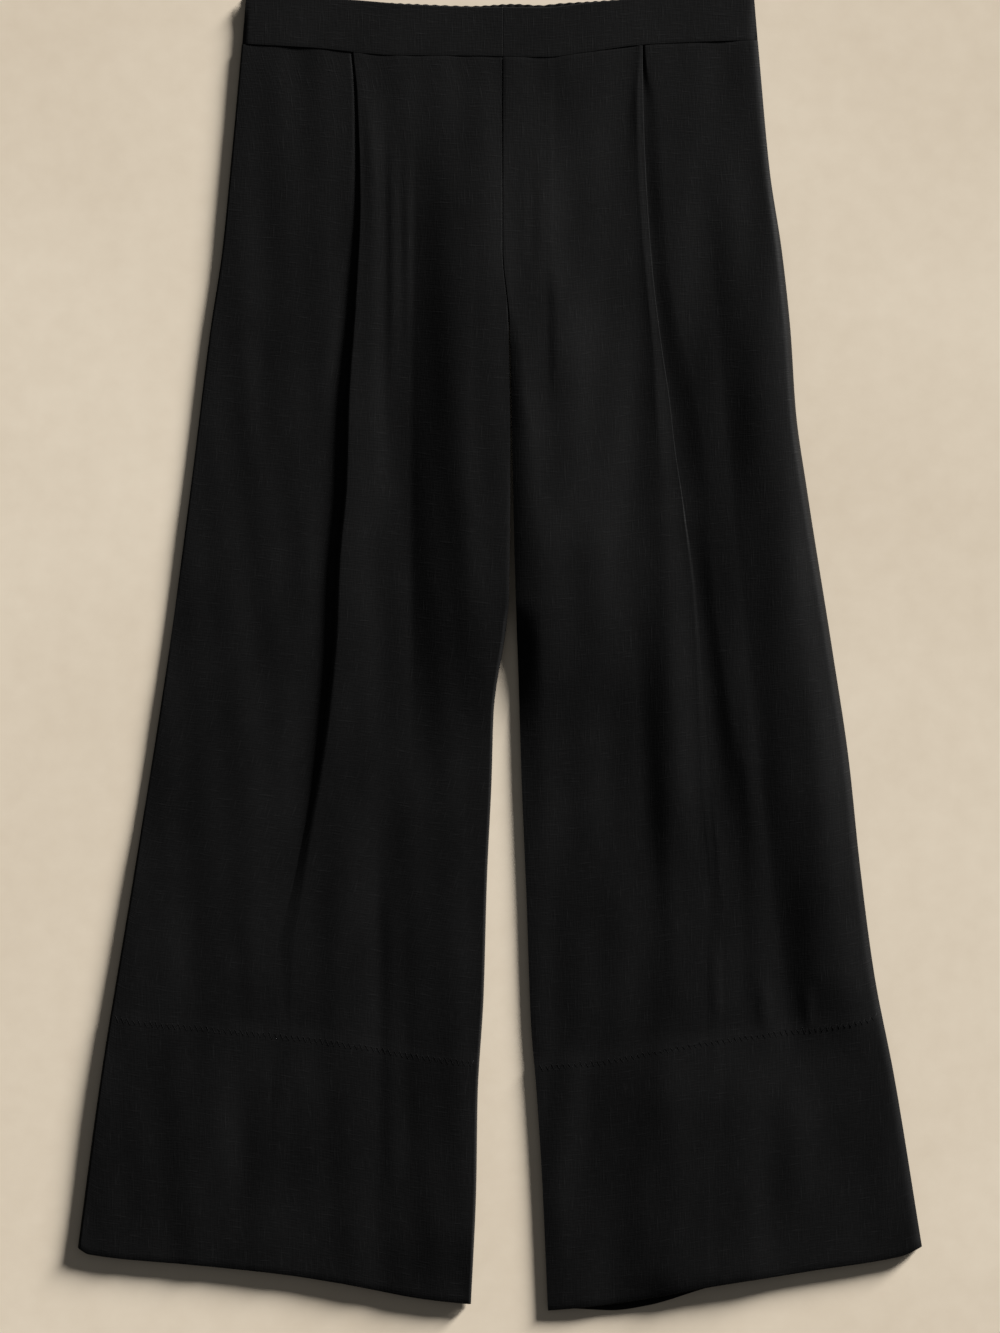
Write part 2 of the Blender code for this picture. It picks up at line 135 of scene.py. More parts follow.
# How much higher the left front lies than the centre front seam. Columns: y, height
CENTRE_HUMP = [(458, 0), (262, 0.1), (249, 0.4), (226, 1.0), (189, 1.5), (151, 2.1), (114, 2.5),
               (76, 3.2), (39, 2.4), (0, 0.6), (-60, -1.5), (-300, -1.5), (-494, -1.0)]

# Pleats. The top layer runs outwards over a crest, falls a little through `brow` to the `edge`,
# turns down through `turn` degrees round `roll`, runs on for `run`, turns back and goes on as
# the side of the front at height `low`, from which it comes up again over `rise`. `flank` is the
# slope from the crest towards the centre.
PLEAT_COLUMNS = ("y", "edge", "roll", "turn", "run", "brow", "flank", "low", "rise")
PLEAT_RIGHT = [(-262, 158, 9.0, 2, 12, 1, 34, 3.9, 30), (-220, 155, 9.0, 4, 10, 1, 34, 3.6, 30),
               (-180, 149.5, 9.0, 9, 6, 1, 34, 3.1, 30), (-132, 143, 8.0, 22, 3, 1, 34, 2.7, 30),
               (-90, 137, 6.5, 42, 1.5, 1, 34, 2.4, 30), (-46, 131, 5.2, 62, 1, 1, 36, 2.1, 32),
               (12, 125, 4.0, 85, 0.5, 1, 38, 2.0, 30), (69, 121.5, 2.6, 115, 0.5, 1, 36, 2.0, 28),
               (126, 116, 1.9, 150, 1, 1, 34, 2.0, 26), (189, 114, 1.6, 170, 3, 1, 26, 2.3, 22),
               (264, 108.5, 1.2, 180, 5, 1, 18, 2.6, 14), (338, 105, 0.8, 180, 6, 1, 12, 2.9, 7),
               (414, 107, 0.45, 180, 5, 1, 8, 3.0, 2.5), (446, 110, 0.3, 180, 4, 1, 5, 2.9, 1.5)]
PLEAT_LEFT = [(-190, 156, 5.0, 1, 10, 14, 30, 6.4, 40), (-111, 152, 5.0, 2, 6, 17, 28, 6.9, 30),
              (-36, 149, 4.0, 4, 3, 18, 27, 7.1, 18), (39, 145, 2.5, 8, 1, 19, 26, 7.0, 14),
              (76, 141, 1.2, 14, 0.5, 18, 26, 7.0, 16), (95, 138.5, 0.6, 36, 0.1, 16.5, 26, 7.1, 19),
              (114, 136, 0.2, 90, 0.4, 15, 27, 6.5, 22),
              (151, 130.5, 0.1, 105, 1.9, 11.5, 27, 5.3, 22), (188, 126.5, 0.1, 105, 2.2, 10, 24, 4.7, 20),
              (218, 122, 0.1, 110, 2.0, 7, 24, 4.6, 18), (248, 118, 0.1, 115, 2.0, 5.5, 22, 4.6, 15),
              (278, 114.5, 0.1, 120, 2.0, 5, 20, 4.5, 13), (338, 110, 0.1, 150, 2.4, 5.5, 16, 3.9, 13),
              (392, 107.5, 0.1, 180, 3, 5, 9, 4.2, 12), (414, 107, 0.1, 180, 3, 4.5, 8, 3.9, 9),
              (430, 106.7, 0.1, 180, 2, 3.5, 6, 3.5, 4),
              (446, 106.5, 0.1, 180, 2, 2, 4, 3.2, 1.5)]
PLEAT_OPENS = 90.0  # the length over which a pleat opens out at its end
BROW_FALL = {1: 0.65, -1: 0.0}  # for each 12 mm of brow, by side
STEEPER_FROM = 120.0  # above this, over the next 80 mm, the left flank steepens to its crest

# Soft ridges, and troughs where the height is below 0. The crest runs from (top_x, top) to
# (bottom_x, bottom), bowed sideways by `bow` half way; `minus` and `plus` are the widths of its
# slopes towards -X and +X, and it fades in and out over `fade_top` and `fade_bottom`. `crisp` is
# how much the slope towards -X starts in a crease, from 0 to 1.
FOLD_COLUMNS = ("top", "top_x", "bottom", "bottom_x", "bow", "height", "minus", "plus",
                "fade_top", "fade_bottom", "crisp")
FOLDS_ACROSS = [  # from the right front over to the left one
    (430, -20, -110, -22, -2, 6.4, 43, 172, 170, 160, 0.8),
]
FOLDS_RIGHT = [
    (430, -98, 60, -104, 1, 0.8, 14, 18, 60, 120, 0),
    (415, -82, 165, -82, 1.5, 0.5, 5.5, 8, 90, 120, 0),
    (395, -69, 200, -67.5, -1, 0.3, 5, 7, 80, 110, 0),
    (260, -182, 120, -178, 0, -0.5, 12, 14, 50, 60, 0),
    (-60, -120, -490, -106, 3, 1.1, 34, 26, 120, 60, 0),
    (-40, -27, -490, -28, 0, 3.4, 64, 90, 150, 60, 0.6),
    (-150, -82, -420, -80, 0, 0.6, 10, 14, 60, 60, 0),
    (-200, -196, -290, -192, 0, -0.4, 12, 12, 30, 24, 0),
    (-215, -162, -292, -158, 0, -0.3, 9, 9, 24, 20, 0),
    (-290, -160, -420, -172, 0, 1.1, 20, 22, 40, 60, 0),
    (60, -190, -240, -218, 4, 0.8, 40, 44, 140, 120, 0),
    (-300, -214, -470, -232, 0, 0.8, 36, 34, 60, 50, 0),
]
FOLDS_LEFT = [
    (150, 165, -220, 190, 0, 1.6, 40, 110, 100, 150, 0),
    (440, 41, 170, 43, 0, 0.25, 8, 26, 160, 90, 0.3),
    (296, 42, 170, 43, 0, 0.7, 7, 40, 36, 60, 0.2),
    (370, 24.5, 280, 24, 0, -0.2, 7, 7, 30, 30, 0),
    (310, 170, -220, 200, 0, 2.0, 50, 60, 120, 140, 0),
    (-20, 124, -290, 142, -2, 1.0, 16, 34, 90, 40, 0),
    (360, 194, -310, 260, -4, 4.4, 40, 36, 130, 70, 0.5),
    (-10, 184, -275, 190, 0, 0.5, 9, 16, 80, 24, 0),
    (-200, 158, -278, 163, 0, 0.4, 9, 11, 40, 16, 0),
    (-240, 196, -285, 197, 0, 0.6, 7, 10, 20, 12, 0),
    (-245, 229, -285, 231, 0, 0.6, 6, 7, 20, 12, 0),
    (-90, 82, -300, 80, 0, 0.9, 40, 26, 100, 40, 0.3),
    (-280, 136, -494, 140, 0, 3.0, 70, 120, 60, 30, 0),
    (-290, 52, -400, 50, 0, 0.9, 18, 18, 30, 60, 0),
    (-320, 226, -450, 236, 0, 0.8, 26, 28, 40, 50, 0),
]
FOLDS_BACK = [
    (300, 60, -60, 74, 4, 0.9, 16, 20, 120, 160, 0.3),
    (150, 130, -300, 160, -5, 0.8, 24, 18, 140, 120, 0.3),
    (-40, 70, -420, 92, 3, 0.9, 20, 26, 120, 90, 0.2),
    (60, 190, -380, 232, 6, 0.8, 18, 16, 120, 110, 0.4),
]

# Grids
ROWS = 190
TURN_UP_ROWS = 24
HEM_ARC = 5
LAP_COLUMNS = 7
DIP_COLUMNS = 6
CENTRE_COLUMNS = 92
SIDE_COLUMNS = 58
FOLD_ARC = 8
FOLD_RUN = 3
BACK_ROWS = 110
BACK_COLUMNS = 90
TURN_UP_TOP = 1.0 - TURN_UP / LEG_LENGTH


# ---- curves ----

def ease(t):
    """0 to 1 with no slope at either end: 3t^2 - 2t^3."""
    t = np.clip(t, 0.0, 1.0)
    return t * t * (3.0 - 2.0 * t)


def swell(t, power=2.4):
    """Up from 0 steeply and over into 1: 1 - (1 - t)^power."""
    return 1.0 - (1.0 - np.clip(t, 0.0, 1.0)) ** power


def crowd(count, strength=0.6):
    """`count` steps from 0 to 1, closer together at both ends: t - strength sin(2 pi t) / 2 pi."""
    t = np.linspace(0.0, 1.0, count + 1)
    return t - strength * np.sin(2.0 * math.pi * t) / (2.0 * math.pi)


def along(rows, at, column=1):
    """A smooth line through one column of a table against its first column.

    Between rows it is a cubic whose slopes are the mean of the neighbouring ones, limited so
    that it never overshoots a row.
    """
    rows = sorted(rows)
    x = np.array([row[0] for row in rows], float)
    v = np.array([row[column] for row in rows], float)
    step = np.diff(x)
    slope = np.diff(v) / step
    tangent = np.zeros(len(x))
    same_way = slope[:-1] * slope[1:] > 0
    mean = 2.0 * slope[:-1] * slope[1:] / np.where(same_way, slope[:-1] + slope[1:], 1.0)
    tangent[1:-1] = np.where(same_way, mean, 0.0)
    tangent[0], tangent[-1] = slope[0], slope[-1]
    at = np.clip(np.asarray(at, float), x[0], x[-1])
    i = np.clip(np.searchsorted(x, at) - 1, 0, len(step) - 1)
    t = (at - x[i]) / step[i]
    return (v[i] * (1 + 2 * t) * (1 - t) ** 2 + v[i + 1] * t * t * (3 - 2 * t)
            + step[i] * (tangent[i] * t * (1 - t) ** 2 - tangent[i + 1] * t * t * (1 - t)))


def fold_heights(rows, x, y):
    """What the soft ridges and troughs add: each is its height, times an ease across its
    slopes, or a swell out of a crease, times an ease at both ends."""
    total = np.zeros_like(x)
    for row in rows:
        fold = dict(zip(FOLD_COLUMNS, row))
        run = np.clip((fold["top"] - y) / (fold["top"] - fold["bottom"]), 0.0, 1.0)
        crest = fold["top_x"] + run * (fold["bottom_x"] - fold["top_x"])
        crest = crest + fold["bow"] * np.sin(math.pi * run)
        width = np.where(x < crest, fold["minus"], fold["plus"])
        ends = ease((fold["top"] - y) / fold["fade_top"])
        ends = ends * ease((y - fold["bottom"]) / fold["fade_bottom"])
        climb = 1.0 - np.abs(x - crest) / width
        crisp = np.where(x < crest, fold["crisp"], 0.0)
        total += fold["height"] * ends * (ease(climb) + crisp * (swell(climb, 1.5) - ease(climb)))
    return total


def slackness(x, y, seed, size):
    """Gentle unevenness: the mean of long low waves that run mostly down the leg."""
    draw = np.random.default_rng(seed)
    total = np.zeros_like(x)
    waves = 7
    for _ in range(waves):
        across = draw.uniform(24.0, 70.0)
        down = draw.uniform(150.0, 520.0) * draw.choice([-1.0, 1.0])
        phase = draw.uniform(0.0, 2.0 * math.pi)
        drift = 0.8 * np.sin(y / draw.uniform(60.0, 120.0) + phase)
        total += np.sin(2.0 * math.pi * (x / across + y / down) + phase + drift)
    return size * total / math.sqrt(waves)


# ---- legs ----

class Leg:
    """The lines that bound one leg's front or back. `side` is 1 for the wearer's left and -1
    for the right, and w is side * x, so that w grows from the centre outwards."""

    def __init__(self, side, inner, outer, hem, underlap=0.0):
        self.side = side
        self.inner = inner
        self.outer = outer
        self.hem = hem
        self.underlap = underlap

    def centre_line(self, y):
        """The centre front, or the inner leg seam below it, drawn back a little where the two
        fronts meet edge to edge."""
        apart = 0.35 * ease((262.0 - y) / 20.0) * ease((y - 10.0) / 20.0)
        return self.side * along(self.inner, y) + apart

    def inner_edge(self, y):
        """The cut edge: the centre line, and past it the underlap of the fly."""
        return self.centre_line(y) - self.underlap * ease((y - 250.0) / 12.0)

    def outer_edge(self, y):
        return self.side * along(self.outer, y)

    def hem_line(self, x):
        return along(self.hem, x) + HEM_RADIUS + CLOTH / 2

    def ends(self, b):
        """Inner and outer edge at row b, which is 0 at the waist seam and 1 at the hem."""
        top_in = along(WAIST_SEAM, self.side * self.inner_edge(WAIST_AT_CENTRE))
        top_out = along(WAIST_SEAM, self.outer[-1][1])
        bottom_in = self.hem_line(self.inner[0][1])
        bottom_out = self.hem_line(self.outer[0][1])
        return (self.inner_edge(top_in + b * (bottom_in - top_in)),
                self.outer_edge(top_out + b * (bottom_out - top_out)))

    def row_y(self, w, b):
        """Row b runs from the curve of the waist seam to the curve of the hem."""
        inner, outer = self.ends(b)
        a = (w - inner) / (outer - inner)
        top_in, top_out = self.ends(0.0)
        bottom_in, bottom_out = self.ends(1.0)
        top = along(WAIST_SEAM, self.side * (top_in + a * (top_out - top_in))) - SEAM_GAP / 2
        bottom = self.hem_line(self.side * (bottom_in + a * (bottom_out - bottom_in)))
        return top + b * (bottom - top)


RIGHT = Leg(-1, INNER_RIGHT, SIDE_RIGHT, HEM_RIGHT, UNDERLAP)
LEFT = Leg(1, INNER_LEFT, SIDE_LEFT, HEM_LEFT)
BACK_RIGHT = Leg(-1, INNER_RIGHT, SIDE_RIGHT, HEM_RIGHT)
BACK_LEFT = Leg(1, INNER_LEFT, SIDE_LEFT, HEM_LEFT_BACK)

CENTRE_FALL = {1: CENTRE_FALL_LEFT, -1: CENTRE_FALL_RIGHT}
SIDE_FALL = {1: SIDE_FALL_LEFT, -1: SIDE_FALL_RIGHT}
PLEATS = {1: PLEAT_LEFT, -1: PLEAT_RIGHT}
FOLDS = {1: FOLDS_LEFT, -1: FOLDS_RIGHT}
SIDE_LEVEL = {1: SIDE_LEVEL_LEFT, -1: SIDE_LEVEL_RIGHT}


def in_turn_up(b):
    """0 above the turned-up hem and 1 over it."""
    return ease((b - TURN_UP_TOP + 0.004) / 0.008)


def seam_spread(leg, w, y):
    """1 at the side and inner leg seams, 0 a little way in from them."""
    inner, outer = leg.centre_line(y), leg.outer_edge(y)
    near = np.minimum(np.abs(w - inner), np.abs(outer - w))
    return 1.0 - ease(near / 10.0)


def front_level(leg, w, y, b, beyond=0.0):
    """Height of a front away from its pleat: flat, with its folds, rounding down to the seams.

    Above the crotch the centre front seam lies up on the folds, and the left front rises from
    it over a low hump. In the fly the right front dips under the left one just at its edge.
    `beyond` is 1 on the far side of the pleat.
    """
    x = leg.side * w
    flat = along(FLAT_LEVEL, y)
    edge = flat + OVER_FLY
    underlap = flat - UNDER_FLY
    flat = flat + beyond * (along(SIDE_LEVEL[leg.side], y) - flat)
    across = fold_heights(FOLDS_ACROSS, x, y)
    full = flat + across + fold_heights(FOLDS[leg.side], x, y)
    full = full + slackness(x, y, 11 + leg.side, SLACK) + TURN_UP_RISE * in_turn_up(b)
    side_seam = SEAM_FRONT + 2 * HEM_RADIUS_AT_SEAM * in_turn_up(b)
    above_crotch = ease(y / ABOVE_CROTCH)
    if leg.side > 0:
        fall = along(CENTRE_FALL_LEFT, y)
        fading = 1.0 - ease((w - leg.centre_line(y) - fall) / HUMP_FADE)
        full = full + along(CENTRE_HUMP, y) * fading
    seam = side_seam + above_crotch * (flat + across - SEAM_DROP - side_seam)
    if leg.underlap:
        in_fly = ease((y - 235.0) / 27.0)
        centre = seam + in_fly * (underlap + across - seam)
        dip_end = leg.centre_line(y) - DIP * in_fly
    else:
        in_fly = ease((y - 215.0) / 35.0)
        centre = seam + in_fly * (edge + across - seam)
        dip_end = leg.centre_line(y)
        over_facing = 1.0 - ease((w - FACING_SHOWS_TO) / FACING_EDGE)
        full = full + FACING_RISE * in_fly * over_facing
    inwards = swell((leg.outer_edge(y) - w) / along(SIDE_FALL[leg.side], y), 3.0)
    outwards = swell((w - dip_end) / along(CENTRE_FALL[leg.side], y), 2.0)
    level = side_seam + (full - side_seam) * inwards
    level = centre + (level - centre) * outwards
    return level - WAIST_DROP * (1.0 - swell(b * LEG_LENGTH, 2.0))


def pleat_fold(pleat):
    """The fold of every row, from the crest's start to the side's start: a round of radius
    `roll` turns down through `turn`, a straight runs on, and a small round turns back level.
    Returns places w and heights."""
    turn = np.radians(pleat["turn"])
    wider = np.maximum(1.0 / turn - 0.8, 0.0)  # keeps a round's length where it turns little
    roll = pleat["roll"] + wider
    back_roll = FOLD_RADIUS + wider
    run = pleat["run"]
    drop = (roll + back_roll) * (1 - np.cos(turn)) + run * np.sin(turn)
    down = turn * np.linspace(0, 1, FOLD_ARC + 1)
    w = pleat["edge"] - roll * np.sin(np.minimum(turn, math.pi / 2)) + roll * np.sin(down)
    z = pleat["low"] + drop - roll * (1 - np.cos(down))
    straight = run * np.linspace(0, 1, FOLD_RUN + 1)[1:]
    run_w = w[:, -1:] + straight * np.cos(turn)
    run_z = z[:, -1:] - straight * np.sin(turn)
    back = turn * np.linspace(1, 0, FOLD_ARC + 1)[1:]
    back_w = run_w[:, -1:] + back_roll * (np.sin(turn) - np.sin(back))
    back_z = run_z[:, -1:] - back_roll * (np.cos(back) - np.cos(turn))
    return np.hstack([w, run_w, back_w]), np.hstack([z, run_z, back_z])


def front_rows(leg, b):
    """Rows of a front at the places b: w, y and z, from the inner edge over the pleat to the
    side seam. Rows are down the arrays and columns across them. Towards its end the pleat
    opens out into the cloth around it."""
    b = np.asarray(b, float)[:, None]
    inner, outer = leg.ends(b)
    middle = leg.row_y((inner + outer) / 2, b)
    pleat = {name: along(PLEATS[leg.side], middle, i)
             for i, name in enumerate(PLEAT_COLUMNS) if i}
    fold_w, fold_z = pleat_fold(pleat)
    held = ease((middle - PLEATS[leg.side][0][0]) / PLEAT_OPENS)
    across = np.linspace(0, 1, fold_w.shape[1])[None, :]
    even_w = fold_w[:, :1] + across * (fold_w[:, -1:] - fold_w[:, :1])
    fold_w = even_w + held * (fold_w - even_w)
    lying = front_level(leg, fold_w, leg.row_y(fold_w, b), b, ease(across))
    fold_z = lying + held * (fold_z - lying)

    start = inner
    parts = []
    if leg.underlap:
        y = leg.row_y(inner, b)
        in_fly = ease((y - 250.0) / 12.0)
        dip_end = leg.centre_line(y) + 0.5 - (0.6 + DIP) * in_fly
        start = leg.centre_line(y) + 3.5 - 2.3 * in_fly
        parts.append(inner + (dip_end - inner) * np.linspace(0, 1, LAP_COLUMNS + 1)[:-1])
        parts.append(dip_end + (start - dip_end) * np.linspace(0, 1, DIP_COLUMNS + 1)[:-1])
    parts.append(start + (fold_w[:, :1] - start) * crowd(CENTRE_COLUMNS)[:-1])
    centre_w = np.hstack(parts)
    centre_z = front_level(leg, centre_w, leg.row_y(centre_w, b), b)
    inside = fold_w[:, :1] - centre_w
    climb = np.clip(1.0 - (inside - pleat["brow"]) / pleat["flank"], 0.0, 1.0)
    steeper = ease((middle - STEEPER_FROM) / 80.0) * (leg.side > 0)
    crest = ease(climb) + steeper * (climb ** 2 - ease(climb))
    fall = BROW_FALL[leg.side] * pleat["brow"] / 12.0
    brow = held * fall * ease(inside / pleat["brow"])
    centre_z = centre_z + crest * (fold_z[:, :1] + brow - centre_z)

    side_w = fold_w[:, -1:] + (outer - fold_w[:, -1:]) * crowd(SIDE_COLUMNS)[1:]
    side_y = leg.row_y(side_w, b)
    side_z = front_level(leg, side_w, side_y, b, 1.0)
    foot = np.maximum(pleat["edge"] + 0.5, fold_w[:, -1:])
    under = 1.0 - ease((side_w - foot) / pleat["rise"])
    side_z = side_z + under * (fold_z[:, -1:] - side_z)

    w = np.hstack([centre_w, fold_w, side_w])
    z = np.hstack([centre_z, fold_z, side_z])
    return w, leg.row_y(w, b), z


def hemmed(leg, rows_at, places, up):
    """Rows down to the hem, round its fold and up inside. `up` is -1 where the inside lies
    below the outside, as on a front, and 1 on a back."""
    w, y, z = rows_at(places)
    radius = HEM_RADIUS + (HEM_RADIUS_AT_SEAM - HEM_RADIUS) * seam_spread(leg, w[-1:], y[-1:])
    turn = np.linspace(0, math.pi, HEM_ARC + 1)[1:, None]
    arc_w = np.repeat(w[-1:], HEM_ARC, axis=0)
    arc_y = y[-1:] - radius * np.sin(turn)
    arc_z = z[-1:] + up * radius * (1 - np.cos(turn))
    turn_w, turn_y, turn_z = rows_at(np.linspace(1.0, TURN_UP_TOP, TURN_UP_ROWS + 1)[1:])
    inside = HEM_RADIUS + (HEM_RADIUS_AT_SEAM - HEM_RADIUS) * seam_spread(leg, turn_w, turn_y)
    turn_z = turn_z + up * 2 * inside
    return np.vstack([w, arc_w, turn_w]), np.vstack([y, arc_y, turn_y]), np.vstack([z, arc_z, turn_z])


def front_grid(leg):
    places = np.linspace(0.0, 1.0, ROWS + 1)
    places = np.unique(np.concatenate([places, np.linspace(0.0, 0.006, 5)]))
    w, y, z = hemmed(leg, lambda b: front_rows(leg, b), places, -1)
    return np.stack([leg.side * w, y, z], axis=2)


def back_rows(leg, b):
    """A back lies flat, gathered a little under the waistband, with soft folds that stand up
    from the floor, and its edges lift to the seams."""
    b = np.asarray(b, float)[:, None]
    inner, outer = leg.ends(b)
    w = inner + (outer - inner) * crowd(BACK_COLUMNS)
    y = leg.row_y(w, b)
    x = leg.side * w
    folds = fold_heights(FOLDS_BACK, w + 6.0 * leg.side, y + 30.0 * leg.side)
    gathers = 0.5 * (1.0 + np.sin(2 * math.pi * (w / 9.5) + 1.4 * np.sin(w / 13.0)))
    full = REST + np.maximum(folds, 0.0) + 0.8 * gathers * (1.0 - ease(b / 0.09)) * ease(b / 0.004)
    seam = SEAM_BACK - 2 * HEM_RADIUS_AT_SEAM * in_turn_up(b)
    lift_inner = ease((40.0 - y) / 60.0)
    inner_seam = REST + 0.35 + (seam - REST - 0.35) * lift_inner
    z = seam + (full - seam) * swell((outer - w) / 10.0)
    z = inner_seam + (z - inner_seam) * swell((w - inner) / (4.0 + 5.0 * lift_inner))
    return w, y, z


def back_grid(leg):
    w, y, z = hemmed(leg, lambda b: back_rows(leg, b), np.linspace(0.0, 1.0, BACK_ROWS + 1), 1)
    return np.stack([leg.side * w, y, z], axis=2)


def facing_grid():
    """The fly facing follows the left front just below it, down to a quarter oval."""
    a = np.linspace(0, 1, 25)[None, :]
    x = INNER_LEFT[-1][1] + a * FACING_WIDTH
    top = along(WAIST_SEAM, x) - 2.0
    foot = FLY_BOTTOM + FLY_CURVE * (1 - np.sqrt(1 - np.minimum(a, 0.995) ** 2))
    y = top + np.linspace(0, 1, 50)[:, None] * (foot - top)
    edge = LEFT.centre_line(y)
    x = edge + 1.0 + a * (FACING_WIDTH + INNER_LEFT[-1][1] - edge)
    b = (along(WAIST_SEAM, x) - y) / LEG_LENGTH
    z = front_level(LEFT, x, y, b) - CLOTH - 0.03
    return np.stack([x, y, z], axis=2)


# ---- waistband ----

BAND_WIDTH = 37.0
BAND_PRESSED = BAND_CLOTH + 0.02
BAND_DROP = 0.08  # into the waist seam
GATHER = 0.35  # height of the back waistband's ripples


def band_grid(top, ends_at_seam, ends_at_top, places, outer, gap, ripple=0.0):
    """A waistband piece: a strip folded along its top edge. The path across it runs up the
    outside, round the fold and down the inside, and is carried along the waist seam, with a
    column at each of `places` from 0 to 1. `outer` gives the height of the outside at x and
    `gap` how far below it the inside lies."""
    a = places[None, :]
    face = crowd(14, 0.75)
    turn = np.linspace(0, math.pi, 9)[1:-1]
    share = np.concatenate([face, np.ones(len(turn)), face[::-1]])[:, None]
    turned = np.concatenate([np.zeros(len(face)), turn, np.full(len(face), math.pi)])[:, None]
    start = ends_at_seam[0] + share * (ends_at_top[0] - ends_at_seam[0])
    end = ends_at_seam[1] + share * (ends_at_top[1] - ends_at_seam[1])
    x = start + a * (end - start)
    level, depth = outer(x), gap(x)
    seam = along(WAIST_SEAM, x) + SEAM_GAP / 2
    edge = along(top, x) - np.abs(depth) / 2 - BAND_CLOTH / 2
    y = seam + share * (edge - seam) + np.abs(depth) / 2 * np.sin(turned)
    z = level - depth * (1 - np.cos(turned)) / 2
    at_seam = 1.0 - swell(share * BAND_WIDTH / 2.0, 2.0)
    z = z - np.sign(depth) * BAND_DROP * at_seam * np.cos(turned)
    if ripple:
        wave = np.sin(2 * math.pi * x / 7.0 + 1.2 * np.sin(x / 11.0))
        z = z + ripple * (0.5 + 0.5 * wave)
        y = y + 0.7 * ripple * wave * ease(share * 3.0 - 2.0)
    return np.stack([x, y, z], axis=2)


def at_band_side(x):
    """0 at the side seams, 1 from a little way in."""
    return swell((BAND_HALF - np.abs(x)) / np.where(x < 0, 2.0, 8.0), 3.0)


def front_band_level(x):
    """The right half: flat, rounding down at the side and dipping under the left half."""
    flat = BAND_LEVEL + (BAND_UNDER_LEVEL - BAND_LEVEL) * ease((x - 1.8) / 0.9)
    return BAND_SIDE_LEVEL + (flat - BAND_SIDE_LEVEL) * at_band_side(x)


def lapped_band_level(x):
    on_top = 1.0 - ease((x - UNDERLAP - 2.0) / 26.0)
    flat = BAND_LEVEL + (BAND_LAP_LEVEL - BAND_LEVEL) * on_top
    return BAND_SIDE_LEVEL + (flat - BAND_SIDE_LEVEL) * at_band_side(x)


def back_band_level(x):
    return REST + 0.9 * (1.0 - at_band_side(x))


def front_band_gap(x):
    """Between the two layers of a front half: pressed together at its ends."""
    return BAND_PRESSED + 0.5 * at_band_side(x) * ease(np.abs(x - 3.0) / 6.0)


def right_band_gap(x):
    return BAND_PRESSED + 0.5 * at_band_side(x) * ease((-x - 4.0) / 10.0)


def back_band_gap(x):
    return -(BAND_PRESSED + 0.6 * at_band_side(x))


# ---- meshes ----

def cloth(name, grid, material, thickness=CLOTH, flip=False):
    """A piece of cloth from a grid of places in millimetres, as an open surface with its
    thickness on both sides. Its UV map is in metres: the length across each row, and the
    length down the middle column."""
    rows, columns, _ = grid.shape
    across = np.linalg.norm(np.diff(grid, axis=1), axis=2)
    u = np.hstack([np.zeros((rows, 1)), np.cumsum(across, axis=1)])
    u = u - u[:, columns // 2:columns // 2 + 1] + grid[:, columns // 2, 0][:, None]
    down = np.linalg.norm(np.diff(grid[:, columns // 2], axis=0), axis=1)
    v = np.repeat(np.concatenate([[0.0], np.cumsum(down)])[:, None], columns, axis=1)
    corner = (np.arange(rows - 1)[:, None] * columns + np.arange(columns - 1)).reshape(-1)
    quads = np.stack([corner, corner + columns, corner + columns + 1, corner + 1], axis=1)
    if flip:
        quads = quads[:, ::-1]
    mesh = bpy.data.meshes.new(name)
    mesh.from_pydata((grid.reshape(-1, 3) * MM).tolist(), [], quads.tolist())
    layer = mesh.uv_layers.new(name="cloth")
    uv = np.stack([u, v], axis=2).reshape(-1, 2)[quads.reshape(-1)] * MM
    layer.data.foreach_set("uv", uv.astype(np.float32).reshape(-1))
    mesh.materials.append(material)
    mesh.shade_smooth()
    # The cut edges stay sharp, so that the shading of the face doesn't run over them.
    ends = np.empty(2 * len(mesh.edges), np.int32)
    mesh.edges.foreach_get("vertices", ends)
    row, column = np.divmod(ends.reshape(-1, 2), columns)
    cut_row = ((row == 0) | (row == rows - 1)).all(axis=1)
    cut_column = ((column == 0) | (column == columns - 1)).all(axis=1)
    mesh.edges.foreach_set("use_edge_sharp", cut_row | cut_column)
    piece = bpy.data.objects.new(name, mesh)
    bpy.context.scene.collection.objects.link(piece)
    wall = piece.modifiers.new("thickness", "SOLIDIFY")
    wall.thickness = thickness * MM
    wall.offset = 0.0
    return piece


def thread(name, path, radius, material, sides=6):
    """A thread along a path of places in millimetres: rings across the path's own direction."""
    ahead = np.gradient(path, axis=0)
    ahead /= np.linalg.norm(ahead, axis=1, keepdims=True)
    across = np.cross(ahead, np.array([0.0, 0.0, 1.0]))
    across /= np.linalg.norm(across, axis=1, keepdims=True)
    up = np.cross(across, ahead)
    turn = np.linspace(0, 2 * math.pi, sides, endpoint=False)[None, :, None]
    rings = path[:, None] + radius * (np.cos(turn) * across[:, None] + np.sin(turn) * up[:, None])
    count = len(path)
    ring = np.arange(count - 1)[:, None] * sides
    side = np.arange(sides)
    following = (side + 1) % sides
    quads = np.stack([ring + side, ring + following, ring + sides + following,
                      ring + sides + side], axis=2).reshape(-1, 4)
    caps = [list(range(sides))[::-1], list(range((count - 1) * sides, count * sides))]
    mesh = bpy.data.meshes.new(name)
    mesh.from_pydata((rings.reshape(-1, 3) * MM).tolist(), [], quads.tolist() + caps)
    mesh.materials.append(material)
    mesh.shade_smooth()
    piece = bpy.data.objects.new(name, mesh)
    bpy.context.scene.collection.objects.link(piece)
    return piece


